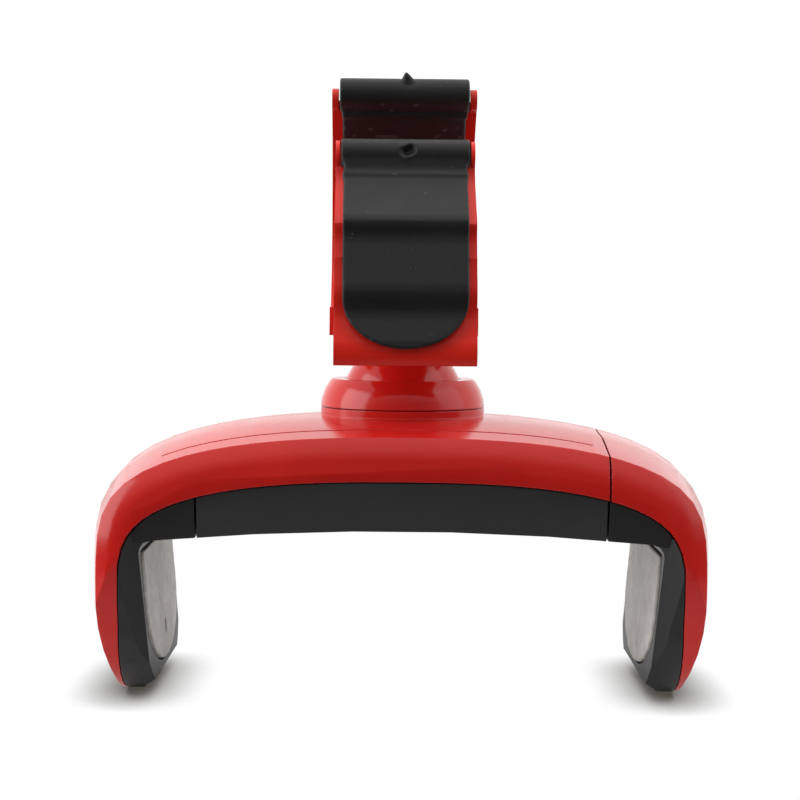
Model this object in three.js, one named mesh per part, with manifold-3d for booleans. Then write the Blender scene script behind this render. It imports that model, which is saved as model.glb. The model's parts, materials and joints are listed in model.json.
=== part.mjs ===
// Steering-wheel phone holder. A spring-loaded cradle grips a phone between two arms,
// and a ball joint on its back carries a spring clip for the wheel's rim.
// Millimetres, +Z up. The cradle stands on its two arm tips at Z = 0, with its phone side down,
// and the clip points up. X runs across the arms, and Y runs along the phone.
import * as THREE from "three";
import { mergeVertices } from "three/addons/utils/BufferGeometryUtils.js";
import Module from "manifold-3d";

const wasm = await Module();
wasm.setup();

const { sin, cos, PI, abs, pow, sign, sqrt, acos } = Math;

// ---- Driving dimensions ----

const GAP = 0.15; // between pieces that touch
const CUT_TOLERANCE = 0.012; // shorter edges left by the cuts are merged
const HUGE = 60; // past the object on every side
const BELOW = -4; // under the floor, where the legs' outlines end before they are cut off

// The arched back of the cradle, seen along Y: a superellipse above SPRING_Z, and legs below it.
const SPRING_Z = 16;
const CREST = { half: 45.8, rise: 25.4, across: 2.5, up: 4.05, lean: 0.0175 };
const SPLIT = { half: 40.3, rise: 16.8, across: 2.6, up: 3.7, lean: -0.002 };

// The cradle's section across the arch: half widths along Y, and depths below the crest.
const RIDGE_HALF = 21.3;
const RIDGE_DEPTH = 2.4;
const BULGE_HALF = 23.9;
const BULGE_DEPTH = 5.5;
const SPLIT_HALF = 22.4;
const SPLIT_DEPTH = 9.5;
const INNER_HALF = 21.55;
const INNER_DEPTH = 12.3;
const SHELL_WALL = 2.2;
const CREST_STEPS = 46;

// The fine line round the panel on the back.
const GROOVE_DEPTH = 0.35;
const GROOVE_WIDTH = 0.5;
const GROOVE_INSET = 4.55;
const PANEL_LEFT = -34.5;

// The sloping sides below the arch, seen along X: half widths at two heights.
const SLOPE_TOP = { half: 21.9, z: 28.4 };
const SLOPE_BOTTOM = { half: 20.55, z: 23.6 };
const PLATE_TOP = { half: 22.4, z: 32.6 };
const PLATE_BOTTOM = { half: 20.3, z: 23.6 };

// The front and rear faces of the arms' liners, seen along Z: half widths at two distances from the middle.
const LEG_OUTER = { half: 23, x: 40.6 };
const LEG_INNER = { half: 18.2, x: 36.3 };


// The underside, seen along Y.
const UNDER_Z = 24;
const UNDER_RISE = 3.2;
const CORNER_X = 34.8;
const FACE_X = 37.5;
const FACE_TOP = 21.9;
const FACE_LEAN = (5.07 * PI) / 180;

// The arm tips, seen along X.
const TIP_HALF = 20.5;
const TIP_CENTRE = 12;
const TIP_RADIUS = 12.6;

// The bevel across each tip, from its outer end up to the pad's lower end.
const BEVEL_OUT = 38.3;
const BEVEL_LOW = 0.62;
const BEVEL_IN = 33.6;
const BEVEL_HIGH = 4.6;
const BEVEL_PAST = 4;

// Seams between the cradle's parts.
const SEAM_X = 29.3;
const SPLIT_STEPS = 32;

// The slider and its springs.
const TRAY_FLOOR = 27.5;
const SLIDER_Z = 28.2;
const SLIDER_THICK = 1.5;
const SLIDER_HALF = 16.2;
const SLIDER_END = -27;
const SPRING_Y = 16.6;
const SPRING_HEIGHT = 32.2;
const SPRING_FROM = -24.7;
const SPRING_TO = 6;
const BOSS_X = 18;
const BOSS_Y = 11;
const ARM_SCREW_X = 33;
const ARM_SCREW_Y = 9;

// The pads on the inner faces of the arms.
const PAD_HALF = 16.8;
const PAD_LENGTH = 18.2;
const PAD_END = 9;
const PAD_THICK = 1.45;
const PAD_PROUD = 0.35;
const POCKET_GAP = 0.3;

// The ball joint.
const BALL_R = 9.2;
const BALL_Z = 43.1;
const SEAT_R = 9.3;
const BOSS_TOP = 42.1;
const COLLAR_TOP = 46.4;
const COLLAR_R = 12.4;
const NECK_R = 4.6;
const NECK_TOP = 52.7;
const SPIGOT_R = 3.4;
const SPIGOT_TOP = 55.6;

// The clip. Its own frame is turned a little about Z on the stem.
const CLIP_YAW = PI / 180;
const LEVER = { plate: 10.3, boot: 9.1, roll: 9.55 };
const REAR = { plate: 11.1, boot: 9.5, roll: 9.9 };
const ROLL_R = 2.5;
const PLATE_HALF_THICK = 1.2;
const BOOT_THICK = 1.15;
const SLOT_PAST = 0.3; // room in a boot beyond the end of its jaw
const ROOT = 1.2; // how far a boot's sides run into its roll
const PIN = { y: -11, z: 58.5 };
const PIN_R = 1.2;
const PIN_HOLE_R = 1.35;
const CHEEK_X = 9.15; // the lever's cheeks, from here out to its sides
const CHEEK_R = 3.2;
const EAR_IN = 6; // the rear jaw's ears, which stand between the cheeks
const EAR_OUT = 8.2;
const EAR_R = 2.7;
const BASE_BOTTOM = 53;
const BASE_TOP = 57.2;
const ABOVE_CLIP = 95;
const BEND_REACH = 1.1; // how far before and after a bend of a jaw its rounding starts

// Middle lines of the two jaw plates, (Y, Z), from the tip down.
const FRONT_LINE = [
  [-4.8, 78.8],
  [-5.4, 75.6],
  [-12.7, 69],
  [-12.3, 67.5],
  [-15.4, 59.4],
  [-14.8, 56.5],
  [-17, 51.4],
  [-16.3, 49],
];
const REAR_LINE = [
  [6, 88.4],
  [10.6, 84],
  [13.3, 77],
  [13.9, 69.5],
  [11.7, 62.8],
  [7.4, 57.8],
  [4, 55.6],
];
const FRONT_ROLL = [-4.8, 79.7];
const REAR_ROLL = [4.6, 89.6];

// ---- Materials ----

function plastic(colour, roughness) {
  return new THREE.MeshStandardMaterial({ color: colour, roughness, metalness: 0 });
}

function metal(colour, roughness) {
  return new THREE.MeshStandardMaterial({ color: colour, roughness, metalness: 1 });
}

const redPlastic = () => plastic(0xc4161c, 0.18);
const blackPlastic = () => plastic(0x17181a, 0.45);
const blackRubber = () => plastic(0x0e0f10, 0.7);
const greyRubber = () => plastic(0xa8a29c, 0.6);
const whiteAcetal = () => plastic(0xe8e6df, 0.4);
const springSteel = () => metal(0xb9bcc0, 0.3);
const screwSteel = () => metal(0x8d9095, 0.35);

// ---- From geometry to solids and back ----

function solidOf(geometry) {
  const bare = geometry.clone();
  bare.deleteAttribute("normal");
  bare.deleteAttribute("uv");
  const merged = mergeVertices(bare, 1e-4);
  return new wasm.Manifold(
    new wasm.Mesh({
      numProp: 3,
      vertProperties: merged.attributes.position.array,
      triVerts: new Uint32Array(merged.index.array),
    }),
  );
}

function geometryOf(solid) {
  const { vertProperties, triVerts } = solid.getMesh();
  const geometry = new THREE.BufferGeometry()
    .setAttribute("position", new THREE.BufferAttribute(new Float32Array(vertProperties), 3))
    .setIndex(new THREE.BufferAttribute(new Uint32Array(triVerts), 1))
    .toNonIndexed();
  geometry.computeVertexNormals();
  return geometry;
}

function piece(name, solid, material) {
  const mesh = new THREE.Mesh(geometryOf(solid.setTolerance(CUT_TOLERANCE)), material);
  mesh.name = name;
  return mesh;
}

// ---- Basic solids ----

function shapeOf(points) {
  return new THREE.Shape(points.map(([a, b]) => new THREE.Vector2(a, b)));
}

// A shape drawn in (X, Z), from y0 to y1.
function alongY(shape, y0, y1, curveSegments = 10) {
  const options = { depth: y1 - y0, bevelEnabled: false, curveSegments };
  return solidOf(
    new THREE.ExtrudeGeometry(shape, options).rotateX(PI / 2).translate(0, y1, 0),
  );
}

// A shape drawn in (Y, Z), from x0 to x1.
function alongX(shape, x0, x1, curveSegments = 10) {
  const options = { depth: x1 - x0, bevelEnabled: false, curveSegments };
  const turn = new THREE.Matrix4().makeBasis(
    new THREE.Vector3(0, 1, 0),
    new THREE.Vector3(0, 0, 1),
    new THREE.Vector3(1, 0, 0),
  );
  return solidOf(
    new THREE.ExtrudeGeometry(shape, options).applyMatrix4(turn).translate(x0, 0, 0),
  );
}

function box(x0, x1, y0, y1, z0, z1) {
  const geometry = new THREE.BoxGeometry(x1 - x0, y1 - y0, z1 - z0);
  return solidOf(geometry.translate((x0 + x1) / 2, (y0 + y1) / 2, (z0 + z1) / 2));
}

function rodZ(radius, x, y, z0, z1, sides = 20) {
  const geometry = new THREE.CylinderGeometry(radius, radius, z1 - z0, sides);
  return solidOf(geometry.rotateX(PI / 2).translate(x, y, (z0 + z1) / 2));
}

function rodX(radius, y, z, x0, x1, sides = 20) {
  const geometry = new THREE.CylinderGeometry(radius, radius, x1 - x0, sides);
  return solidOf(geometry.rotateZ(PI / 2).translate((x0 + x1) / 2, y, z));
}

// A profile of [radius, z] points turned about Z. It starts and ends on the axis, or closes on itself.
function turned(profile, sides = 32) {
  const points = profile.map(([r, z]) => new THREE.Vector2(r, z));
  return solidOf(new THREE.LatheGeometry(points, sides).rotateX(PI / 2));
}

// Points of an arc of the ball's circle, as [radius, z], between two heights on its right-hand side.
function ballArc(radius, fromZ, toZ, steps) {
  const angleAt = (z) => acos(Math.max(-1, Math.min(1, (z - BALL_Z) / radius)));
  const from = angleAt(fromZ);
  const to = angleAt(toZ);
  return Array.from({ length: steps + 1 }, (_, i) => {
    const a = from + ((to - from) * i) / steps;
    return [radius * sin(a), BALL_Z + radius * cos(a)];
  });
}

// A solid put through a three.js matrix.
function moved(solid, matrix) {
  return solidOf(geometryOf(solid).applyMatrix4(matrix));
}

// The same solid turned half round about Z, for shapes that are symmetric along Y.
function aboutZ(solid) {
  return moved(solid, new THREE.Matrix4().makeRotationZ(PI));
}

// ---- The arch ----

// The half width of an arch outline at a height.
function halfAt(arch, z) {
  if (z <= SPRING_Z) return arch.half - arch.lean * (SPRING_Z - z) ** 2;
  return arch.half * pow(1 - pow((z - SPRING_Z) / arch.rise, arch.up), 1 / arch.across);
}

// Points of an arch outline from the left foot over the top to the right foot.
function archPoints(arch, inset, footZ, steps) {
  const shrunk = { ...arch, half: arch.half - inset, rise: arch.rise - inset };
  const points = [];
  const legSteps = 4;
  for (let i = 0; i < legSteps; i++) {
    const z = footZ + ((SPRING_Z - footZ) * i) / legSteps;
    points.push([-halfAt(shrunk, z), z]);
  }
  for (let i = 0; i <= steps; i++) {
    const a = (PI * i) / steps;
    const c = cos(a);
    const x = -shrunk.half * sign(c) * pow(abs(c), 2 / shrunk.across);
    points.push([x, SPRING_Z + shrunk.rise * pow(abs(sin(a)), 2 / shrunk.up)]);
  }
  for (let i = legSteps - 1; i >= 0; i--) {
    points.push([-points[i][0], points[i][1]]);
  }
  return points;
}

// The crest as a curve that a section can follow.
class CrestCurve extends THREE.Curve {
  getPoint(t, target = new THREE.Vector3()) {
    const leg = 0.12;
    const footZ = -2;
    if (t < leg || t > 1 - leg) {
      const s = t < leg ? t / leg : (1 - t) / leg;
      const z = footZ + (SPRING_Z - footZ) * s;
      return target.set((t < leg ? -1 : 1) * halfAt(CREST, z), 0, z);
    }
    const a = (PI * (t - leg)) / (1 - 2 * leg);
    const c = cos(a);
    const x = -CREST.half * sign(c) * pow(abs(c), 2 / CREST.across);
    return target.set(x, 0, SPRING_Z + CREST.rise * pow(abs(sin(a)), 2 / CREST.up));
  }
}

// The section, drawn as (half width, depth): a crowned top, a ridge, a bulging side, and a slope below.
function sectionShape(inset, bottom) {
  const ridge = RIDGE_HALF - inset;
  const shape = new THREE.Shape();
  shape.moveTo(-ridge, RIDGE_DEPTH + inset);
  shape.quadraticCurveTo(0, inset - RIDGE_DEPTH, ridge, RIDGE_DEPTH + inset);
  shape.quadraticCurveTo(BULGE_HALF - inset, BULGE_DEPTH, SPLIT_HALF - inset, SPLIT_DEPTH);
  shape.lineTo(INNER_HALF - inset, bottom);
  shape.lineTo(inset - INNER_HALF, bottom);
  shape.lineTo(inset - SPLIT_HALF, SPLIT_DEPTH);
  shape.quadraticCurveTo(inset - BULGE_HALF, BULGE_DEPTH, -ridge, RIDGE_DEPTH + inset);
  return shape;
}

function sweepSection(inset, bottom, steps) {
  const options = {
    steps,
    bevelEnabled: false,
    curveSegments: 4,
    extrudePath: new CrestCurve(),
  };
  return solidOf(new THREE.ExtrudeGeometry(sectionShape(inset, bottom), options));
}

// The outline of the arms seen along X: straight above, and rounded like a tongue below.
function tongueShape() {
  const shape = new THREE.Shape();
  const straightZ = 34;
  const midZ = 22;
  const midHalf = BULGE_HALF - 0.3;
  shape.moveTo(-HUGE, HUGE);
  shape.lineTo(-BULGE_HALF, straightZ);
  shape.quadraticCurveTo(-midHalf, midZ, -TIP_HALF, TIP_CENTRE);
  shape.absellipse(0, TIP_CENTRE, TIP_HALF, TIP_RADIUS, PI, 2 * PI, false);
  shape.quadraticCurveTo(midHalf, midZ, BULGE_HALF, straightZ);
  shape.lineTo(HUGE, HUGE);
  return shape;
}

// A bar along X whose sides slope, given by its half widths at two heights.
function slopedBar(top, bottom, halfLength) {
  const shape = shapeOf([
    [-top.half, top.z],
    [-bottom.half, bottom.z],
    [bottom.half, bottom.z],
    [top.half, top.z],
  ]);
  return alongX(shape, -halfLength, halfLength);
}

// The whole cradle as one block, without its underside.
function cradleForm() {
  const aboveFloor = box(-HUGE, HUGE, -HUGE, HUGE, 0, HUGE);
  return sweepSection(0, INNER_DEPTH, CREST_STEPS)
    .add(slopedBar(SLOPE_TOP, SLOPE_BOTTOM, CORNER_X))
    .intersect(alongX(tongueShape(), -HUGE, HUGE, 9))
    .intersect(aboveFloor);
}

// Everything outside the split line, which is red, and everything between it and the underside.
function outsideSplit() {
  const split = archPoints(SPLIT, 0, BELOW, SPLIT_STEPS);
  const outline = [[-HUGE, BELOW], ...split, [HUGE, BELOW], [HUGE, HUGE], [-HUGE, HUGE]];
  return alongY(shapeOf(outline), -HUGE, HUGE);
}

function insideSplit() {
  const shape = shapeOf(archPoints(SPLIT, GAP, BELOW, SPLIT_STEPS));
  const footX = FACE_X - Math.tan(FACE_LEAN) * (FACE_TOP - BELOW);
  shape.lineTo(footX, BELOW);
  shape.lineTo(FACE_X, FACE_TOP);
  shape.quadraticCurveTo(FACE_X, UNDER_Z, CORNER_X, UNDER_Z);
  shape.quadraticCurveTo(0, UNDER_Z + UNDER_RISE, -CORNER_X, UNDER_Z);
  shape.quadraticCurveTo(-FACE_X, UNDER_Z, -FACE_X, FACE_TOP);
  shape.lineTo(-footX, BELOW);
  return alongY(shape, -HUGE, HUGE, 5);
}

// The liners' front and rear faces: one slope below the arch, and a steeper one on the arms.
function linerSides() {
  const slope = (LEG_OUTER.half - LEG_INNER.half) / (LEG_OUTER.x - LEG_INNER.x);
  const farHalf = LEG_OUTER.half + slope * (HUGE - LEG_OUTER.x);
  const arm = (side) => {
    const shape = shapeOf([
      [side * LEG_INNER.x, -LEG_INNER.half],
      [side * HUGE, -farHalf],
      [side * HUGE, farHalf],
      [side * LEG_INNER.x, LEG_INNER.half],
      [side * (LEG_INNER.x - 4), LEG_INNER.half],
      [side * (LEG_INNER.x - 4), -LEG_INNER.half],
    ]);
    const options = { depth: HUGE, bevelEnabled: false };
    return solidOf(new THREE.ExtrudeGeometry(shape, options).translate(0, 0, -1));
  };
  const bar = slopedBar({ half: PLATE_TOP.half + 1.28, z: PLATE_TOP.z + 5.5 }, PLATE_BOTTOM, HUGE);
  return arm(-1).add(arm(1)).add(bar);
}

// The bevel under the right arm's liner, from the pad's lower end out to the tip.
function tipBevel() {
  const cut = shapeOf([
    [BEVEL_OUT, -1],
    [BEVEL_OUT, BEVEL_LOW],
    [BEVEL_IN, BEVEL_HIGH],
    [BEVEL_IN - BEVEL_PAST, BEVEL_HIGH],
    [BEVEL_IN - BEVEL_PAST, -1],
  ]);
  return alongY(cut, -HUGE, HUGE);
}

// ---- The cradle ----

const FORM = cradleForm();
const BACK = FORM.intersect(outsideSplit());
const FRONT = FORM.intersect(insideSplit()).intersect(linerSides());

// Two fine lines along the back, each a little way in from an edge, that end at the left shoulder.
function shellGrooves() {
  const out = RIDGE_HALF - GROOVE_INSET;
  const depth = RIDGE_DEPTH * (out / RIDGE_HALF) ** 2 + GROOVE_DEPTH;
  const options = { steps: CREST_STEPS, bevelEnabled: false, extrudePath: new CrestCurve() };
  const zone = box(PANEL_LEFT, SEAM_X - 2, -HUGE, HUGE, 30, HUGE);
  const line = (edge) => {
    const shape = shapeOf([
      [edge - GROOVE_WIDTH / 2, -1],
      [edge + GROOVE_WIDTH / 2, -1],
      [edge + GROOVE_WIDTH / 2, depth],
      [edge - GROOVE_WIDTH / 2, depth],
    ]);
    return solidOf(new THREE.ExtrudeGeometry(shape, options)).intersect(zone);
  };
  return line(out).add(line(-out));
}

function shellWell() {
  return rodZ(12.5, 0, 0, 30.2, 41, 32).add(rodZ(COLLAR_R, 0, 0, 38, BOSS_TOP, 32));
}

function shellBore() {
  return rodZ(11.25, 0, 0, 38.2, HUGE, 32).add(rodZ(10.2, 0, 0, 31.2, 40, 32));
}

function topShell() {
  const room = box(-27.5, 27.5, -HUGE, HUGE, 20, HUGE);
  const cavity = sweepSection(SHELL_WALL, INNER_DEPTH, 26).intersect(room);
  let shell = BACK.subtract(cavity).subtract(
    box(SEAM_X - GAP / 2, HUGE, -HUGE, HUGE, -1, HUGE),
  );
  const inShell = FORM.subtract(box(-HUGE, HUGE, -HUGE, HUGE, 0, 25));
  for (const x of [-BOSS_X, BOSS_X]) {
    for (const y of [-BOSS_Y, BOSS_Y]) {
      shell = shell.add(rodZ(2, x, y, TRAY_FLOOR + 0.3, 39, 12));
    }
  }
  for (const side of [-1, 1]) {
    const near = side * 14.4;
    const far = side * 18.8;
    const stop = box(
      SPRING_TO + 0.3,
      SPRING_TO + 2.3,
      Math.min(near, far),
      Math.max(near, far),
      SLIDER_Z + SLIDER_THICK + 0.5,
      39,
    );
    shell = shell.add(stop.intersect(inShell));
  }
  shell = shell.add(shellWell()).subtract(shellBore());
  for (const x of [-BOSS_X, BOSS_X]) {
    for (const y of [-BOSS_Y, BOSS_Y]) {
      shell = shell.subtract(rodZ(0.95, x, y, TRAY_FLOOR, 33.4, 8));
    }
  }
  for (const y of [-ARM_SCREW_Y, ARM_SCREW_Y]) {
    shell = shell.subtract(rodZ(0.95, -ARM_SCREW_X, y, 20, 33.4, 8));
  }
  return shell.subtract(shellGrooves());
}

function screwHole(x, y, headTop) {
  return rodZ(2.15, x, y, 20, headTop, 14).add(rodZ(1, x, y, headTop - 1, 40, 8));
}

function screw(x, y, headBottom) {
  const head = rodZ(1.9, x, y, headBottom, headBottom + 0.9, 14);
  const cross = box(x - 1, x + 1, y - 0.2, y + 0.2, headBottom - 1, headBottom + 0.5).add(
    box(x - 0.2, x + 0.2, y - 1, y + 1, headBottom - 1, headBottom + 0.5),
  );
  const shank = rodZ(0.75, x, y, headBottom + 0.6, headBottom + 7.6, 8);
  return head.subtract(cross).add(shank);
}

const PLATE_HEAD_TOP = 26.35;
const ARM_HEAD_TOP = 25.8;

function centerPlate() {
  let plate = slopedBar(PLATE_TOP, PLATE_BOTTOM, SEAM_X - 0.2)
    .intersect(insideSplit())
    .subtract(box(-27.8, 27.8, -19.1, 19.1, TRAY_FLOOR, HUGE));
  for (const y of [-6, 6]) {
    plate = plate.add(box(-27.9, 27.9, y - 0.8, y + 0.8, 27, SLIDER_Z - 0.2));
  }
  const exit = box(27, 30, -SLIDER_HALF - 0.4, SLIDER_HALF + 0.4, TRAY_FLOOR, 30.2);
  plate = plate.subtract(exit);
  for (const x of [-BOSS_X, BOSS_X]) {
    for (const y of [-BOSS_Y, BOSS_Y]) {
      plate = plate.subtract(screwHole(x, y, PLATE_HEAD_TOP));
    }
  }
  return plate;
}

// ---- The pads ----

// A tongue drawn in (Y, Z), with its top at the turning point of the arm's face.
function padShape(grow) {
  const half = PAD_HALF + grow;
  const shape = new THREE.Shape();
  shape.moveTo(-half, grow);
  shape.lineTo(-half, PAD_END - PAD_LENGTH);
  shape.absellipse(0, PAD_END - PAD_LENGTH, half, PAD_END + grow, PI, 2 * PI, false);
  shape.lineTo(half, grow);
  return shape;
}

// The pad in its own frame, whose origin is the top of the arm's face. A positive grow makes its pocket.
function padBlock(side, grow) {
  const back = PAD_PROUD - PAD_THICK - grow;
  const front = PAD_PROUD + 6 * grow;
  if (side < 0) return alongX(padShape(grow), back, front, 9);
  return alongX(padShape(grow), -front, -back, 9);
}

function padPocket() {
  const place = new THREE.Matrix4()
    .makeTranslation(FACE_X, 0, FACE_TOP)
    .multiply(new THREE.Matrix4().makeRotationY(FACE_LEAN));
  return moved(padBlock(1, POCKET_GAP), place);
}

function padMesh(name, side, solid) {
  const mesh = piece(name, solid, greyRubber());
  const holder = new THREE.Group();
  holder.position.set(side * FACE_X, 0, FACE_TOP);
  holder.rotation.y = side * FACE_LEAN;
  holder.add(mesh);
  return holder;
}

function leftPad() {
  const slot = box(-0.4, HUGE, -0.5, 0.5, -14.8, -12.6);
  return padBlock(-1, 0).subtract(slot);
}

// ---- The arms ----

// Both liners are the same moulding, so the left one also has a pocket for a slider.
function armLiner() {
  const zone = box(SEAM_X + 0.1, HUGE, -HUGE, HUGE, -1, HUGE);
  let liner = FRONT.intersect(zone)
    .subtract(tipBevel())
    .subtract(padPocket())
    .subtract(sliderPocket());
  for (const y of [-ARM_SCREW_Y, ARM_SCREW_Y]) {
    liner = liner.subtract(screwHole(ARM_SCREW_X, y, ARM_HEAD_TOP));
  }
  return liner;
}

function sliderPocket() {
  const half = SLIDER_HALF + 0.4;
  return box(29, 35.7, -half, half, SLIDER_Z - 0.2, SLIDER_Z + SLIDER_THICK + 0.2);
}

function rightArmShell() {
  let shell = BACK.intersect(box(SEAM_X + 0.2, HUGE, -HUGE, HUGE, -1, HUGE)).subtract(
    sliderPocket(),
  );
  for (const y of [-ARM_SCREW_Y, ARM_SCREW_Y]) {
    shell = shell.subtract(rodZ(0.95, ARM_SCREW_X, y, 20, 33.4, 8));
  }
  return shell;
}

function sliderPlate() {
  const z0 = SLIDER_Z;
  const z1 = SLIDER_Z + SLIDER_THICK;
  let plate = box(SLIDER_END, 35.4, -SLIDER_HALF, SLIDER_HALF, z0, z1);
  const lugOut = 18.8;
  plate = plate.add(box(SLIDER_END, SLIDER_END + 2, -lugOut, lugOut, z0, z1));
  for (const y of [-SPRING_Y, SPRING_Y]) {
    plate = plate.add(box(SLIDER_END, SLIDER_END + 2, y - 2.2, y + 2.2, z0, 34.2));
  }
  for (const y of [-BOSS_Y, BOSS_Y]) {
    plate = plate
      .subtract(box(-30, -15.4, y - 2.4, y + 2.4, z0 - 1, z1 + 1))
      .subtract(box(-4.6, 20.6, y - 2.4, y + 2.4, z0 - 1, z1 + 1));
  }
  for (const y of [-ARM_SCREW_Y, ARM_SCREW_Y]) {
    plate = plate.subtract(rodZ(1, ARM_SCREW_X, y, z0 - 1, z1 + 1, 12));
  }
  return plate;
}

// ---- Springs ----

// A round wire along a curve.
function wire(points, radius, steps, sides) {
  const curve = new THREE.CatmullRomCurve3(points.map((p) => new THREE.Vector3(...p)));
  const round = new THREE.Shape();
  round.absarc(0, 0, radius, 0, 2 * PI, false);
  return solidOf(
    new THREE.ExtrudeGeometry(round, {
      steps,
      curveSegments: sides,
      bevelEnabled: false,
      extrudePath: curve,
    }),
  );
}

function returnSpring(side) {
  const turns = 8;
  const perTurn = 7;
  const coil = 1.7;
  const count = turns * perTurn;
  const points = Array.from({ length: count + 1 }, (_, i) => {
    const a = (2 * PI * i) / perTurn;
    const x = SPRING_FROM + 0.4 + ((SPRING_TO - SPRING_FROM - 0.8) * i) / count;
    return [x, side * SPRING_Y + coil * cos(a), SPRING_HEIGHT + coil * sin(a)];
  });
  return wire(points, 0.3, count, 3);
}

function torsionSpring() {
  const turns = 4;
  const perTurn = 9;
  const coil = 2;
  const count = turns * perTurn;
  const halfLength = 2.6;
  const points = [
    [halfLength, PIN.y - 2.3, PIN.z - 4.8],
    [halfLength, PIN.y - 1.75, PIN.z - 2.5],
  ];
  for (let i = 0; i <= count; i++) {
    const a = PI + (2 * PI * i) / perTurn;
    const x = halfLength - (2 * halfLength * i) / count;
    points.push([x, PIN.y + coil * cos(a), PIN.z - coil * sin(a)]);
  }
  points.push([-halfLength, PIN.y - 0.4, PIN.z + 2.3], [-halfLength, PIN.y + 5, PIN.z + 1.1]);
  return wire(points, 0.4, 52, 3);
}

// ---- The ball joint ----

function socketCollar() {
  return turned([
    [11, BOSS_TOP + GAP],
    [COLLAR_R, BOSS_TOP + GAP],
    [COLLAR_R - 0.15, 43.4],
    [COLLAR_R - 0.6, 44.8],
    [COLLAR_R - 1.3, 46],
    [COLLAR_R - 1.7, COLLAR_TOP],
    [8.8, COLLAR_TOP],
    ...ballArc(SEAT_R, 46.1, 42, 3),
    [SEAT_R + 0.1, 38.6],
    [11, 38.6],
    [11, BOSS_TOP + GAP],
  ]);
}

function ballCup() {
  return turned([
    [0, 32],
    [9.9, 32],
    [9.9, 38],
    ...ballArc(SEAT_R, 38, BALL_Z - SEAT_R, 6).slice(0, -1),
    [0, BALL_Z - SEAT_R],
  ]);
}

function cupSpring() {
  return turned([
    [6, 31.35],
    [9.5, 31.35],
    [9.5, 31.85],
    [6, 31.85],
    [6, 31.35],
  ]);
}

function ballStem() {
  const neckStart = BALL_Z + sqrt(BALL_R ** 2 - NECK_R ** 2);
  const ball = ballArc(BALL_R, neckStart, BALL_Z - BALL_R, 12).reverse();
  return turned([
    [0, BALL_Z - BALL_R],
    ...ball.slice(1),
    [NECK_R, NECK_TOP],
    [SPIGOT_R, NECK_TOP],
    [SPIGOT_R, SPIGOT_TOP],
    [1.35, SPIGOT_TOP],
    [1.35, 48.5],
    [0, 48.5],
  ]);
}

function stemScrew() {
  return turned(
    [
      [0, 49.5],
      [1.1, 49.5],
      [1.1, BASE_TOP + GAP],
      [2.4, BASE_TOP + GAP],
      [2.4, BASE_TOP + 0.9],
      [1.6, BASE_TOP + 1.5],
      [0, BASE_TOP + 1.5],
    ],
    20,
  );
}

// ---- The clip ----

// The outline of a strip beside the first points of a line, between two distances from the line.
function band(line, from, to, count = line.length) {
  const side = (distance) =>
    line.slice(0, count).map(([y, z], i) => {
      const [ay, az] = line[Math.max(0, i - 1)];
      const [by, bz] = line[Math.min(line.length - 1, i + 1)];
      const before = i > 0 ? direction([ay, az], [y, z]) : direction([y, z], [by, bz]);
      const after = i < line.length - 1 ? direction([y, z], [by, bz]) : before;
      const [ny, nz] = [-(before[1] + after[1]), before[0] + after[0]];
      const length = sqrt(ny * ny + nz * nz);
      const reach = (2 * distance) / (length * length);
      return [y + ny * reach, z + nz * reach];
    });
  return [...side(from), ...side(to).reverse()];
}

// A closed outline with its corners rounded.
function rounded(points, reach = BEND_REACH) {
  const count = points.length;
  return points.flatMap((corner, i) => {
    const before = points[(i + count - 1) % count];
    const after = points[(i + 1) % count];
    const toBefore = Math.hypot(before[0] - corner[0], before[1] - corner[1]);
    const toAfter = Math.hypot(after[0] - corner[0], after[1] - corner[1]);
    const back = Math.min(reach, toBefore * 0.4) / toBefore;
    const on = Math.min(reach, toAfter * 0.4) / toAfter;
    const p = corner.map((c, k) => c + (before[k] - c) * back);
    const q = corner.map((c, k) => c + (after[k] - c) * on);
    const middle = corner.map((c, k) => c / 2 + (p[k] + q[k]) / 4);
    return [p, middle, q];
  });
}

// A line with its first end moved out.
function longer(line, by) {
  const [tip, next] = line;
  const [dy, dz] = direction(next, tip);
  return [[tip[0] + dy * by, tip[1] + dz * by], ...line.slice(1)];
}

function direction([ay, az], [by, bz]) {
  const length = sqrt((by - ay) ** 2 + (bz - az) ** 2);
  return [(by - ay) / length, (bz - az) / length];
}

function disc(radius, centre, x0, x1, sides = 20) {
  return rodX(radius, centre[0], centre[1], x0, x1, sides);
}

function bothSides(x0, x1, make) {
  return make(x0, x1).add(make(-x1, -x0));
}

function frontJaw() {
  const half = LEVER.plate;
  const outline = rounded(band(FRONT_LINE, -PLATE_HALF_THICK, PLATE_HALF_THICK));
  const plate = alongX(shapeOf(outline), -half, half);
  const ends = bothSides(LEVER.roll + GAP, half, (x0, x1) => disc(2.2, FRONT_ROLL, x0, x1));
  const cheekShape = shapeOf([
    [-15, 64.5],
    [PIN.y, PIN.z + CHEEK_R],
    [PIN.y, PIN.z - CHEEK_R],
    [-16, 52.8],
  ]);
  const cheeks = bothSides(CHEEK_X, half, (x0, x1) =>
    alongX(cheekShape, x0, x1).add(disc(CHEEK_R, [PIN.y, PIN.z], x0, x1, 24)),
  );
  return plate
    .add(ends)
    .add(cheeks)
    .subtract(disc(PIN_HOLE_R, [PIN.y, PIN.z], -HUGE, HUGE, 20));
}

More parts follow.
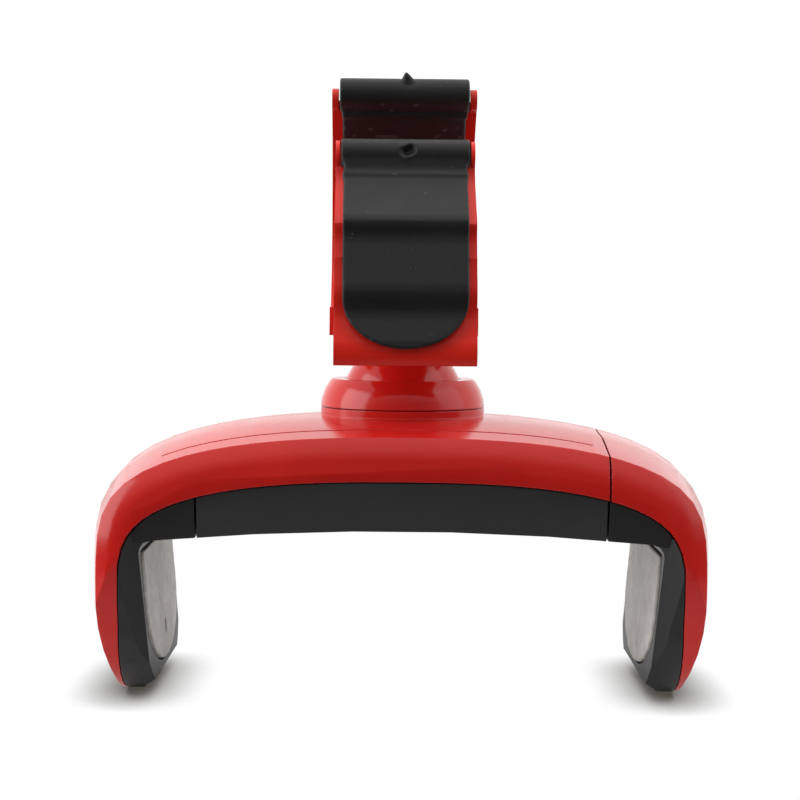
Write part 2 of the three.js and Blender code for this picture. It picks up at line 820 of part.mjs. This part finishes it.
function rearJaw() {
  const half = REAR.plate;
  const outline = rounded(band(REAR_LINE, -PLATE_HALF_THICK, PLATE_HALF_THICK));
  const plate = alongX(shapeOf(outline), -half, half);
  const ends = bothSides(REAR.roll + GAP, half, (x0, x1) => disc(1.7, [5.6, 88.9], x0, x1));
  const base = alongX(
    shapeOf([
      [-5, BASE_BOTTOM],
      [6.4, BASE_BOTTOM],
      [9.4, 57.2],
      [8, 58.6],
      [4, BASE_TOP],
      [-5, BASE_TOP],
    ]),
    -half,
    half,
  );
  const earShape = shapeOf([
    [PIN.y, PIN.z + EAR_R],
    [-2, 60.4],
    [4, BASE_TOP - 0.2],
    [4, BASE_BOTTOM + 0.2],
    [-4, BASE_BOTTOM + 0.2],
    [PIN.y, PIN.z - EAR_R],
  ]);
  const ears = bothSides(EAR_IN, EAR_OUT, (x0, x1) =>
    alongX(earShape, x0, x1).add(disc(EAR_R, [PIN.y, PIN.z], x0, x1, 24)),
  );
  return plate
    .add(ends)
    .add(base)
    .add(ears)
    .subtract(disc(PIN_HOLE_R, [PIN.y, PIN.z], -HUGE, HUGE, 20))
    .subtract(rodZ(3.7, 0, 0, 50, SPIGOT_TOP + 0.4, 24))
    .subtract(rodZ(1.35, 0, 0, 50, HUGE, 16));
}

// A slip-on rubber boot: a roll over the jaw's tip, a tongue on its outside and a pad on its inside.
function boot(line, roll, widths, outerSide, counts, tongueEnd) {
  const near = PLATE_HALF_THICK + GAP;
  const far = near + BOOT_THICK;
  const rooted = longer(line, ROOT);
  const outer = alongX(
    shapeOf(rounded(band(rooted, outerSide * near, outerSide * far, counts.outer))),
    -widths.boot,
    widths.boot,
  ).intersect(alongY(tongueEnd, -HUGE, HUGE, 9));
  const inner = alongX(
    shapeOf(rounded(band(rooted, -outerSide * far, -outerSide * near, counts.inner))),
    -widths.boot,
    widths.boot,
  );
  const slot = alongX(shapeOf(band(longer(line, SLOT_PAST), -near, near, 3)), -HUGE, HUGE);
  return disc(ROLL_R, roll, -widths.roll, widths.roll, 22).subtract(slot).add(outer).add(inner);
}

// The tongue on the lever ends in a wide U.
function frontTongue() {
  const endZ = 51.4;
  const rise = 7.1;
  const shape = new THREE.Shape();
  shape.moveTo(-LEVER.boot, ABOVE_CLIP);
  shape.lineTo(-LEVER.boot, endZ + rise);
  shape.absellipse(0, endZ + rise, LEVER.boot, rise, PI, 2 * PI, false);
  shape.lineTo(LEVER.boot, ABOVE_CLIP);
  return shape;
}

// The tongue on the rear jaw's outside ends square.
function rearTongue() {
  const endZ = 80;
  return shapeOf([
    [-REAR.boot, endZ],
    [REAR.boot, endZ],
    [REAR.boot, ABOVE_CLIP],
    [-REAR.boot, ABOVE_CLIP],
  ]);
}

// A thin bead under the roll.
function bead(centre, widths) {
  const half = widths.roll - 0.3;
  return disc(0.75, centre, -half, half, 12);
}

function frontBoot() {
  const counts = { outer: 8, inner: 4 };
  return boot(FRONT_LINE, FRONT_ROLL, LEVER, -1, counts, frontTongue()).add(
    bead([-7.6, 76.5], LEVER),
  );
}

function rearBoot() {
  const counts = { outer: 3, inner: 5 };
  return boot(REAR_LINE, REAR_ROLL, REAR, 1, counts, rearTongue()).add(bead([4.7, 86.6], REAR));
}

function pivotPin() {
  return disc(PIN_R, [PIN.y, PIN.z], 0.1 - LEVER.plate, LEVER.plate - 0.1, 20);
}

// ---- The assembly ----

function addCradle(group) {
  group.add(piece("top_shell", topShell(), redPlastic()));
  group.add(piece("left_arm_liner", aboutZ(armLiner()), blackPlastic()));
  group.add(piece("center_plate", centerPlate(), blackPlastic()));
  group.add(padMesh("left_pad", -1, leftPad()));
  let count = 0;
  for (const x of [-BOSS_X, BOSS_X]) {
    for (const y of [-BOSS_Y, BOSS_Y]) {
      count += 1;
      group.add(
        piece("plate_screw_" + count, screw(x, y, PLATE_HEAD_TOP - 1), screwSteel()),
      );
    }
  }
  group.add(piece("return_spring_front", returnSpring(-1), springSteel()));
  group.add(piece("return_spring_rear", returnSpring(1), springSteel()));
}

function addArmScrews(group, name, side) {
  group.add(
    piece(name + "_front", screw(side * ARM_SCREW_X, -ARM_SCREW_Y, ARM_HEAD_TOP - 1), screwSteel()),
  );
  group.add(
    piece(name + "_rear", screw(side * ARM_SCREW_X, ARM_SCREW_Y, ARM_HEAD_TOP - 1), screwSteel()),
  );
}

function addRightArm(group) {
  group.add(piece("right_arm_shell", rightArmShell(), redPlastic()));
  group.add(piece("right_arm_liner", armLiner(), blackPlastic()));
  group.add(padMesh("right_pad", 1, padBlock(1, 0)));
  group.add(piece("slider_plate", sliderPlate(), blackPlastic()));
}

function addBallJoint(group) {
  group.add(piece("socket_collar", socketCollar(), redPlastic()));
  group.add(piece("ball_cup", ballCup(), whiteAcetal()));
  group.add(piece("cup_spring", cupSpring(), springSteel()));
  group.add(piece("ball_stem", ballStem(), redPlastic()));
  group.add(piece("stem_screw", stemScrew(), screwSteel()));
}

function addClip(group) {
  const clip = new THREE.Group();
  clip.rotation.z = CLIP_YAW;
  clip.add(piece("rear_jaw", rearJaw(), redPlastic()));
  clip.add(piece("rear_boot", rearBoot(), blackRubber()));
  clip.add(piece("front_jaw", frontJaw(), redPlastic()));
  clip.add(piece("front_boot", frontBoot(), blackRubber()));
  clip.add(piece("pivot_pin", pivotPin(), screwSteel()));
  clip.add(piece("torsion_spring", torsionSpring(), springSteel()));
  group.add(clip);
}

const holder = new THREE.Group();
addCradle(holder);
addArmScrews(holder, "left_arm_screw", -1);
addRightArm(holder);
addArmScrews(holder, "right_arm_screw", 1);
addBallJoint(holder);
addClip(holder);

export default holder;
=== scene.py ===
import json
import math

import bmesh
import bpy
from mathutils import Matrix, Vector

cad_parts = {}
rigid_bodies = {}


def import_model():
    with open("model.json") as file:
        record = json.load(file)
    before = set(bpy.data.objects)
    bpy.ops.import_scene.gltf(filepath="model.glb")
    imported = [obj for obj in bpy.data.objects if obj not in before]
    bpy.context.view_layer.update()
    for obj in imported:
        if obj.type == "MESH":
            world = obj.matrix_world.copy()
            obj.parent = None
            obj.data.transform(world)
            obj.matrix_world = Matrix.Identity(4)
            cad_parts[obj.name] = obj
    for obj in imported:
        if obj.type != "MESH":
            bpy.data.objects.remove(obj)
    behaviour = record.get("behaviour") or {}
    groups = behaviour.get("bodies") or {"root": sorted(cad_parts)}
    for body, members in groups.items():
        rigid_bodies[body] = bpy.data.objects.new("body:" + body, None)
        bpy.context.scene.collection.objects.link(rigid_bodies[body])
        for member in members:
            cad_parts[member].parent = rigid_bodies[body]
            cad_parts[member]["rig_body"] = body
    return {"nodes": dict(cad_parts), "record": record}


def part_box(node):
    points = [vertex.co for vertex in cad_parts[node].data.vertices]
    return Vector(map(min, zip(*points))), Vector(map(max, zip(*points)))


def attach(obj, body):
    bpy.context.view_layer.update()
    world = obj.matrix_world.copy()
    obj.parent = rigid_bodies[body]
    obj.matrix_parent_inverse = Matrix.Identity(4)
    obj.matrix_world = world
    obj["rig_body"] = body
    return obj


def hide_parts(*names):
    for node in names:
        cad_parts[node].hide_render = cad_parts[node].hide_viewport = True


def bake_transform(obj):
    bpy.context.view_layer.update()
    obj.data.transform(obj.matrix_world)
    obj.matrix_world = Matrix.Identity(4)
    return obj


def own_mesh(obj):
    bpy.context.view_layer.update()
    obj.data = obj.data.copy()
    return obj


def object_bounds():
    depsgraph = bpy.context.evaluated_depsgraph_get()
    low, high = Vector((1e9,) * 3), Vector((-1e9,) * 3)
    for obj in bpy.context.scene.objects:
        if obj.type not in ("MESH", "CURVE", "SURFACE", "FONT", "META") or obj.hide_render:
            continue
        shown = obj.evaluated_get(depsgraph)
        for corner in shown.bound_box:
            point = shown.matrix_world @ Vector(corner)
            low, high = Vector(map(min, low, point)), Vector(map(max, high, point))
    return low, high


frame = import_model()
cad_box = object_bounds()

MM = 0.001

# ---------------------------------------------------------------- sizes, in millimetres

ROLL_R = 2.5  # the rolls at the tops of the two boots
GATE_X = 0.4  # the gate marks are this far to the right of the middle
VOXEL = 0.22  # the mesh size of the soft pieces
EDGE_RADIUS = 0.22  # the small radius that moulded edges are shaded with
SLOT_RISE = 4.6  # the left pad's slot, above the pad's lower end
SLOT_DEPTH = 1.1  # and behind its face
CONTACT = 8.0  # how far the shadow of the arm tips reaches on the floor
FLOOR_DROP = 0.1  # the floor lies this far below the arm tips

SHARP = 32  # degrees; rigid edges sharper than this stay crisp
ALL_SMOOTH = 180
WELD = 2e-6  # metres
FLAT = math.radians(0.5)
FLOOR_HALF = 3.0  # metres

# how many smoothing rounds each soft piece gets
SOFT_ROUNDS = {"front_boot": 7, "rear_boot": 7, "left_pad": 3, "right_pad": 3}

# metres and degrees
CAMERA_PLACE = (-0.0004, -0.293, 0.0600)
CAMERA_PITCH = 3.3
CAMERA_ROLL = 0.5
LENS = 86.85  # millimetres, on a sensor 36 wide

# ---------------------------------------------------------------- materials


class Nodes:
    """A short way to add shader nodes."""

    def __init__(self, name):
        self.material = bpy.data.materials.new(name)
        self.material.use_nodes = True
        self.tree = self.material.node_tree
        self.shader = self.tree.nodes["Principled BSDF"]
        self.place = self.add("ShaderNodeTexCoord").outputs["Object"]

    def add(self, kind, **values):
        node = self.tree.nodes.new(kind)
        for key, value in values.items():
            setattr(node, key, value)
        return node

    def link(self, out, into):
        self.tree.links.new(out, into)

    def noise(self, scale, detail=4.0, roughness=0.55, stretch=None, distortion=0.0):
        node = self.add("ShaderNodeTexNoise")
        node.inputs["Scale"].default_value = scale
        node.inputs["Detail"].default_value = detail
        node.inputs["Roughness"].default_value = roughness
        node.inputs["Distortion"].default_value = distortion
        source = self.place
        if stretch:
            mapping = self.add("ShaderNodeMapping")
            mapping.inputs["Scale"].default_value = stretch
            self.link(self.place, mapping.inputs["Vector"])
            source = mapping.outputs["Vector"]
        self.link(source, node.inputs["Vector"])
        return node.outputs["Fac"]

    def cells(self, scale):
        node = self.add("ShaderNodeTexVoronoi", feature="F1")
        node.inputs["Scale"].default_value = scale
        self.link(self.place, node.inputs["Vector"])
        return node.outputs["Distance"]

    def ramp(self, value, stops):
        node = self.add("ShaderNodeValToRGB")
        elements = node.color_ramp.elements
        while len(elements) < len(stops):
            elements.new(0.5)
        for element, (at, colour) in zip(elements, stops):
            element.position = at
            element.color = (*colour, 1.0) if isinstance(colour, tuple) else (colour,) * 3 + (1.0,)
        self.link(value, node.inputs["Fac"])
        return node.outputs["Color"]

    def mix(self, factor, a, b):
        node = self.add("ShaderNodeMix", data_type="RGBA", blend_type="MIX")
        for value, name in ((factor, "Factor"), (a, "A"), (b, "B")):
            socket = [s for s in node.inputs if s.name == name and s.enabled][0]
            if isinstance(value, (int, float)):
                socket.default_value = value if name == "Factor" else (value,) * 3 + (1.0,)
            elif isinstance(value, tuple):
                socket.default_value = (*value, 1.0)
            else:
                self.link(value, socket)
        return [s for s in node.outputs if s.enabled][0]

    def math(self, operation, *values):
        node = self.add("ShaderNodeMath", operation=operation)
        for socket, value in zip(node.inputs, values):
            if isinstance(value, (int, float)):
                socket.default_value = value
            else:
                self.link(value, socket)
        return node.outputs[0]

    def bump(self, layers, normal=None):
        """Stacks bump layers, each (height, strength, distance), on a starting normal."""
        for height, strength, distance in layers:
            node = self.add("ShaderNodeBump")
            node.inputs["Strength"].default_value = strength
            node.inputs["Distance"].default_value = distance
            self.link(height, node.inputs["Height"])
            if normal:
                self.link(normal, node.inputs["Normal"])
            normal = node.outputs["Normal"]
        self.link(normal, self.shader.inputs["Normal"])

    def set(self, name, value):
        socket = self.shader.inputs[name]
        if isinstance(value, (int, float)):
            socket.default_value = value
        elif isinstance(value, tuple):
            socket.default_value = (*value, 1.0)
        else:
            self.link(value, socket)


def rounded_normal(n):
    """The surface normal with sharp edges rounded over."""
    bevel = n.add("ShaderNodeBevel", samples=4)
    bevel.inputs["Radius"].default_value = EDGE_RADIUS * MM
    return bevel.outputs["Normal"]


def edge_mask(n, rounded):
    """Near 1 on edges, from the difference between the flat normal and the rounded one."""
    flat = n.add("ShaderNodeNewGeometry").outputs["Normal"]
    dot = n.add("ShaderNodeVectorMath", operation="DOT_PRODUCT")
    n.link(rounded, dot.inputs[0])
    n.link(flat, dot.inputs[1])
    return n.math("SUBTRACT", 1.0, dot.outputs["Value"])


def gloss_red(name, dark, light, shine):
    n = Nodes(name)
    cloud = n.noise(70, 3)
    grain = n.noise(1400, 2)
    hair = n.noise(300, 5, 0.7, stretch=(1.0, 0.12, 1.0))
    base = n.mix(n.ramp(cloud, [(0.35, 0.0), (0.7, 1.0)]), dark, light)
    rounded = rounded_normal(n)
    edge = n.ramp(edge_mask(n, rounded), [(0.02, 0.0), (0.25, 1.0)])
    # The edges are mixed towards a lighter red.
    n.set("Base Color", n.mix(n.mix(0.75, 0.0, edge), base, (0.72, 0.026, 0.020)))
    smear = n.ramp(n.noise(38, 6, 0.65, distortion=0.4), [(0.30, 0.10), (0.75, 0.22)])
    n.set("Roughness", n.mix(0.25, smear, n.ramp(hair, [(0.4, 0.1), (0.8, 0.35)])))
    n.set("IOR", 1.47)
    n.set("Specular IOR Level", shine)
    n.set("Coat Weight", 0.06)
    n.set("Coat Roughness", 0.06)
    n.set("Subsurface Weight", 0.04)
    n.shader.inputs["Subsurface Radius"].default_value = (0.004, 0.0008, 0.0006)
    n.set("Subsurface Scale", 0.35)
    layers = [(grain, 0.05, 0.00002), (n.noise(45, 2), 0.06, 0.00025), (hair, 0.035, 0.00003)]
    n.bump(layers, rounded)
    return n.material


def satin_black(name, value, roughness):
    n = Nodes(name)
    grain = n.cells(2600)
    fine = n.noise(3800, 3)
    cloud = n.noise(60, 4)
    dust = n.ramp(n.noise(950, 2, 0.8), [(0.70, 0.0), (0.78, 1.0)])
    base = n.mix(cloud, (value,) * 3, (value * 1.35, value * 1.37, value * 1.45))
    n.set("Base Color", n.mix(n.mix(0.22, 0.0, dust), base, (0.10, 0.10, 0.105)))
    rough = [(0.25, roughness), (0.75, roughness + 0.14)]
    n.set("Roughness", n.ramp(n.mix(0.35, cloud, fine), rough))
    n.set("IOR", 1.5)
    layers = [(grain, 0.10, 0.00004), (fine, 0.06, 0.00002), (n.noise(55, 2), 0.08, 0.0003)]
    n.bump(layers, rounded_normal(n))
    return n.material


def soft_rubber():
    n = Nodes("soft_rubber")
    cloud = n.noise(120, 5, 0.6)
    pores = n.cells(1900)
    lint = n.ramp(n.noise(1150, 3, 0.75, distortion=1.2), [(0.685, 0.0), (0.73, 1.0)])
    scuff = n.ramp(n.noise(95, 6, 0.7, distortion=0.8), [(0.55, 0.0), (0.80, 1.0)])
    base = n.mix(cloud, (0.0075, 0.0075, 0.0075), (0.0115, 0.0115, 0.0113))
    base = n.mix(n.mix(0.30, 0.0, scuff), base, (0.028, 0.028, 0.029))
    # Painted highlight: where pointiness finds a convex edge, the rubber is lightened to grey, as
    # light catching the boots' rims would make it.
    pointed = n.add("ShaderNodeNewGeometry").outputs["Pointiness"]
    painted_rim_highlight = n.ramp(pointed, [(0.53, 0.0), (0.62, 1.0)])
    base = n.mix(n.mix(0.7, 0.0, painted_rim_highlight), base, (0.055, 0.055, 0.056))
    n.set("Base Color", n.mix(n.mix(0.55, 0.0, lint), base, (0.16, 0.16, 0.16)))
    n.set("Roughness", n.ramp(cloud, [(0.30, 0.42), (0.72, 0.56)]))
    n.set("IOR", 1.36)
    n.set("Sheen Weight", 0.02)
    n.set("Sheen Roughness", 0.5)
    n.bump([(pores, 0.16, 0.00005), (lint, 0.25, 0.00005), (n.noise(160, 3), 0.20, 0.0002)])
    return n.material


def grey_pad():
    n = Nodes("grey_pad")
    big = n.noise(190, 6, 0.70, distortion=0.6)
    streak = n.noise(150, 5, 0.72, stretch=(1.0, 1.0, 0.55), distortion=0.9)
    fleck = n.ramp(n.noise(1500, 3, 0.8), [(0.40, 0.0), (0.60, 1.0)])
    # The pads' grey, made pale enough to also stand for the light sheen their rubber shows at a
    # grazing angle: partly their own colour, partly painted sheen.
    pad_grey_and_sheen = n.ramp(n.mix(0.5, big, streak), [
        (0.34, (0.31, 0.28, 0.245)),
        (0.46, (0.53, 0.49, 0.445)),
        (0.58, (0.69, 0.65, 0.60)),
        (0.70, (0.80, 0.765, 0.715)),
    ])
    n.set("Base Color", n.mix(n.mix(0.35, 0.0, fleck), pad_grey_and_sheen, n.mix(0.55, pad_grey_and_sheen, 0.16)))
    n.set("Roughness", n.ramp(streak, [(0.3, 0.36), (0.7, 0.60)]))
    n.bump([(fleck, 0.25, 0.00006), (big, 0.35, 0.00018)])
    return n.material


def steel(name, colour, rough, brushed):
    n = Nodes(name)
    lines = n.noise(900, 5, 0.7, stretch=brushed)
    stain = n.noise(240, 4)
    dark = tuple(c * 0.62 for c in colour)
    n.set("Base Color", n.mix(n.ramp(stain, [(0.35, 0.0), (0.75, 1.0)]), colour, dark))
    n.set("Metallic", 1.0)
    n.set("Roughness", n.ramp(lines, [(0.3, rough), (0.75, rough + 0.22)]))
    n.bump([(lines, 0.12, 0.00002), (stain, 0.10, 0.00005)])
    return n.material


def white_acetal():
    n = Nodes("white_acetal")
    cloud = n.noise(90, 4)
    n.set("Base Color", n.mix(cloud, (0.80, 0.785, 0.735), (0.70, 0.685, 0.63)))
    n.set("Roughness", n.ramp(n.noise(500, 4), [(0.3, 0.26), (0.7, 0.42)]))
    n.set("Subsurface Weight", 0.15)
    n.shader.inputs["Subsurface Radius"].default_value = (0.002, 0.0018, 0.0014)
    n.bump([(n.noise(1500, 2), 0.06, 0.00003)])
    return n.material


# the clip is a lighter red than the cradle, and the liners a darker black than the centre plate
RED = gloss_red("gloss_red", (0.56, 0.0115, 0.0085), (0.64, 0.0155, 0.0110), 0.42)
CLIP_RED = gloss_red("clip_red", (0.76, 0.022, 0.012), (0.84, 0.028, 0.016), 0.25)
BLACK = satin_black("satin_black", 0.0215, 0.30)
LINER_BLACK = satin_black("liner_black", 0.0035, 0.36)
RUBBER = soft_rubber()
PAD = grey_pad()
WIRE = steel("spring_wire", (0.56, 0.57, 0.58), 0.22, (1.0, 1.0, 6.0))
ZINC = steel("zinc_screw", (0.47, 0.48, 0.50), 0.28, (3.0, 3.0, 1.0))
ACETAL = white_acetal()

SLOT_MATERIAL = {
    "red_plastic": RED,
    "black_plastic": BLACK,
    "black_rubber": RUBBER,
    "grey_rubber": PAD,
    "white_acetal": ACETAL,
    "spring_steel": WIRE,
    "screw_steel": ZINC,
}
NODE_SLOT = {part["node"]: part["material_slot"] for part in frame["record"]["subparts"]}

# ---------------------------------------------------------------- mesh helpers


def new_object(name, mesh, material):
    mesh.materials.clear()
    mesh.materials.append(material)
    obj = bpy.data.objects.new(name, mesh)
    bpy.context.scene.collection.objects.link(obj)
    return obj


def soften(mesh, angle):
    """Smooth shading with edges sharper than the angle kept."""
    mesh.polygons.foreach_set("use_smooth", [True] * len(mesh.polygons))
    mesh.set_sharp_from_angle(angle=math.radians(angle))
    mesh.update()


def applied(obj):
    """The object's mesh with its modifiers made real."""
    graph = bpy.context.evaluated_depsgraph_get()
    mesh = bpy.data.meshes.new_from_object(obj.evaluated_get(graph))
    obj.modifiers.clear()
    old = obj.data
    obj.data = mesh
    bpy.data.meshes.remove(old)
    return obj


def moulded(node, material, rounds):
    """The node's solid in a fine mesh, its edges rounded over as soft rubber's are."""
    obj = new_object(node + "_form", cleaned_copy(node), material)
    remesh = obj.modifiers.new("remesh", "REMESH")
    remesh.mode = "VOXEL"
    remesh.voxel_size = VOXEL * MM
    smooth = obj.modifiers.new("smooth", "SMOOTH")
    smooth.factor = 0.5
    smooth.iterations = rounds
    return applied(obj)


def pushed(obj, place, direction, radius, height):
    """Pushes the surface near place out along direction (in if the height is negative)."""
    direction = Vector(direction).normalized()
    for vertex in obj.data.vertices:
        away = (vertex.co - place).length / (radius * MM)
        if away < 1.0:
            vertex.co += direction * (height * MM * (1.0 - away) ** 1.3)


def stands_for(obj, node, angle):
    """Gives the piece its shading, and hides the CAD node it stands for."""
    soften(obj.data, angle)
    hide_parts(node)


def cleaned_copy(node):
    """A copy of a CAD node's mesh with flat faces merged into whole polygons."""
    mesh = frame["nodes"][node].data.copy()
    bm = bmesh.new()
    bm.from_mesh(mesh)
    bmesh.ops.remove_doubles(bm, verts=bm.verts, dist=WELD)
    bmesh.ops.dissolve_limit(bm, angle_limit=FLAT, verts=bm.verts, edges=bm.edges)
    bm.to_mesh(mesh)
    bm.free()
    if "custom_normal" in mesh.attributes:
        mesh.attributes.remove(mesh.attributes["custom_normal"])
    return mesh


# ---------------------------------------------------------------- scene


def make_stage():
    mesh = bpy.data.meshes.new("floor")
    bm = bmesh.new()
    bmesh.ops.create_grid(bm, x_segments=8, y_segments=8, size=FLOOR_HALF)
    bm.to_mesh(mesh)
    bm.free()
    n = Nodes("floor_white")
    seen = n.add("ShaderNodeLightPath").outputs["Is Camera Ray"]
    across = n.add("ShaderNodeSeparateXYZ")
    n.link(n.place, across.inputs[0])
    # white under and behind the object, dark in front of it, where its glossy front would mirror it
    near_side = n.math("MULTIPLY_ADD", across.outputs["Y"], 10.0, 0.9)
    bounced = n.ramp(near_side, [(0.15, 0.06), (0.62, 0.72)])
    n.set("Base Color", n.mix(seen, bounced, 0.0))
    n.set("Roughness", n.ramp(n.noise(8, 3), [(0.3, 0.60), (0.7, 0.75)]))
    n.set("Specular IOR Level", 0.0)
    # Painted contact shadow: the floor's emission, which only the camera sees, is darkened where
    # ambient occlusion finds the arm tips near.
    contact = n.add("ShaderNodeAmbientOcclusion", samples=12)
    contact.inputs["Distance"].default_value = CONTACT * MM
    shade = [(0.25, (0.08, 0.072, 0.062)), (0.97, (1.0, 1.0, 1.0))]
    n.set("Emission Color", n.ramp(contact.outputs["AO"], shade))
    n.set("Emission Strength", seen)
    floor = new_object("floor", mesh, n.material)
    floor.location.z = cad_box[0].z - FLOOR_DROP * MM


def area_light(name, place, target, size, power):
    data = bpy.data.lights.new(name, "AREA")
    data.shape = "RECTANGLE"
    data.size = data.size_y = size
    data.energy = power
    lamp = bpy.data.objects.new(name, data)
    bpy.context.scene.collection.objects.link(lamp)
    lamp.location = place
    lamp.rotation_mode = "QUATERNION"
    lamp.rotation_quaternion = (Vector(target) - Vector(place)).to_track_quat("-Z", "Y")


def make_world():
    """Bright above and behind, darker on the camera's side, and plain white where it is seen."""
    world = bpy.data.worlds.new("studio")
    bpy.context.scene.world = world
    world.use_nodes = True
    tree = world.node_tree
    tree.nodes.clear()

    def add(kind, **values):
        node = tree.nodes.new(kind)
        for key, value in values.items():
            setattr(node, key, value)
        return node

    out = add("ShaderNodeOutputWorld")
    coordinate = add("ShaderNodeTexCoord")
    split = add("ShaderNodeSeparateXYZ")
    ramp = add("ShaderNodeValToRGB")
    ramp.color_ramp.interpolation = "EASE"
    for element, (at, grey) in zip(ramp.color_ramp.elements, ((0.10, 0.16), (0.62, 1.0))):
        element.position = at
        element.color = (grey, grey, grey, 1)
    # from Y plus 0.8 of Z, which is about -1 to 1, to the ramp's 0 to 1
    mix = add("ShaderNodeMath", operation="MULTIPLY_ADD")
    mix.inputs[1].default_value = 0.5
    mix.inputs[2].default_value = 0.5
    lift = add("ShaderNodeMath", operation="MULTIPLY_ADD")
    lift.inputs[1].default_value = 0.8
    seen = add("ShaderNodeBackground")
    seen.inputs["Color"].default_value = (1, 1, 1, 1)
    seen.inputs["Strength"].default_value = 1.05
    lit = add("ShaderNodeBackground")
    lit.inputs["Strength"].default_value = 1.15
    path = add("ShaderNodeLightPath")
    choose = add("ShaderNodeMixShader")
    for source, target in (
        (coordinate.outputs["Generated"], split.inputs[0]),
        (split.outputs["Z"], lift.inputs[0]),
        (split.outputs["Y"], lift.inputs[2]),
        (lift.outputs[0], mix.inputs[0]),
        (mix.outputs[0], ramp.inputs["Fac"]),
        (ramp.outputs["Color"], lit.inputs["Color"]),
        (path.outputs["Is Camera Ray"], choose.inputs[0]),
        (lit.outputs[0], choose.inputs[1]),
        (seen.outputs[0], choose.inputs[2]),
        (choose.outputs[0], out.inputs[0]),
    ):
        tree.links.new(source, target)


def make_camera():
    data = bpy.data.cameras.new("camera")
    data.sensor_width = 36.0
    data.lens = LENS
    data.clip_start = 0.01
    camera = bpy.data.objects.new("camera", data)
    bpy.context.scene.collection.objects.link(camera)
    camera.location = CAMERA_PLACE
    turn = Matrix.Rotation(math.radians(90 - CAMERA_PITCH), 3, "X")
    roll = Matrix.Rotation(math.radians(CAMERA_ROLL), 3, "Z")
    camera.rotation_euler = (turn @ roll).to_euler()
    bpy.context.scene.camera = camera


# ---------------------------------------------------------------- pieces


def rear_vestige(obj):
    """The torn-off gate on the rear boot's roll: a pointed nub in a shallow ring."""
    low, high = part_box("rear_boot")
    middle = Vector((GATE_X * MM, low.y + ROLL_R * MM, high.z - ROLL_R * MM))
    out = Vector((0.0, -0.50, 0.87)).normalized()
    top = middle + out * ROLL_R * MM
    pushed(obj, top, out, 1.9, -0.2)
    pushed(obj, top, out + Vector((-0.25, 0.0, 0.35)), 1.15, 2.1)


def front_vestige(obj):
    """The front boot's gate was cut below the surface, and left a dimple with a raised lip."""
    low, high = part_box("front_boot")
    middle = Vector((GATE_X * MM, high.y - ROLL_R * MM, high.z - ROLL_R * MM))
    out = Vector((0.0, -0.98, 0.22)).normalized()
    face = middle + out * ROLL_R * MM
    pushed(obj, face, out, 1.9, 0.25)
    pushed(obj, face + Vector((0.0004, 0, 0.0002)), out, 1.05, -1.5)
    pushed(obj, face + Vector((-0.0004, 0, -0.0001)), out, 0.95, -1.2)


def pad_slot(obj):
    """Deepens the small moulded slot, which is low on the left pad."""
    low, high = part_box("left_pad")
    for rise in (-0.45, 0.0, 0.45):
        place = Vector((high.x - SLOT_DEPTH * MM, 0.0, low.z + (SLOT_RISE + rise) * MM))
        pushed(obj, place, (-1.0, 0.0, 0.09), 0.9, 0.7)


DETAIL = {"front_boot": front_vestige, "rear_boot": rear_vestige, "left_pad": pad_slot}


def build_piece(node):
    material = SLOT_MATERIAL[NODE_SLOT[node]]
    if node.endswith("_liner"):
        material = LINER_BLACK
    elif node.endswith("_jaw"):
        material = CLIP_RED
    if node in SOFT_ROUNDS:
        obj = moulded(node, material, SOFT_ROUNDS[node])
        if node in DETAIL:
            DETAIL[node](obj)
        stands_for(obj, node, ALL_SMOOTH)
    else:
        obj = new_object(node + "_form", cleaned_copy(node), material)
        stands_for(obj, node, SHARP)
    return obj


def blend_torsion_spring(obj):
    """Bakes the spring's placement into its mesh."""
    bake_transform(obj)


for node in frame["nodes"]:
    piece = build_piece(node)
    if node == "torsion_spring":
        blend_torsion_spring(piece)
        continue
    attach(piece, frame["nodes"][node]["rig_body"])
    if node.startswith("return_spring"):
        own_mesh(piece)

make_stage()
make_world()
make_camera()
area_light("top", (0.0, 0.12, 0.75), (0, 0, 0.03), 0.9, 1.3)
area_light("left", (-0.6, -0.15, 0.22), (0, 0, 0.03), 0.5, 2.4)
area_light("right", (0.6, -0.15, 0.35), (0, 0, 0.04), 0.5, 0.55)
bpy.context.scene.view_settings.view_transform = "Standard"
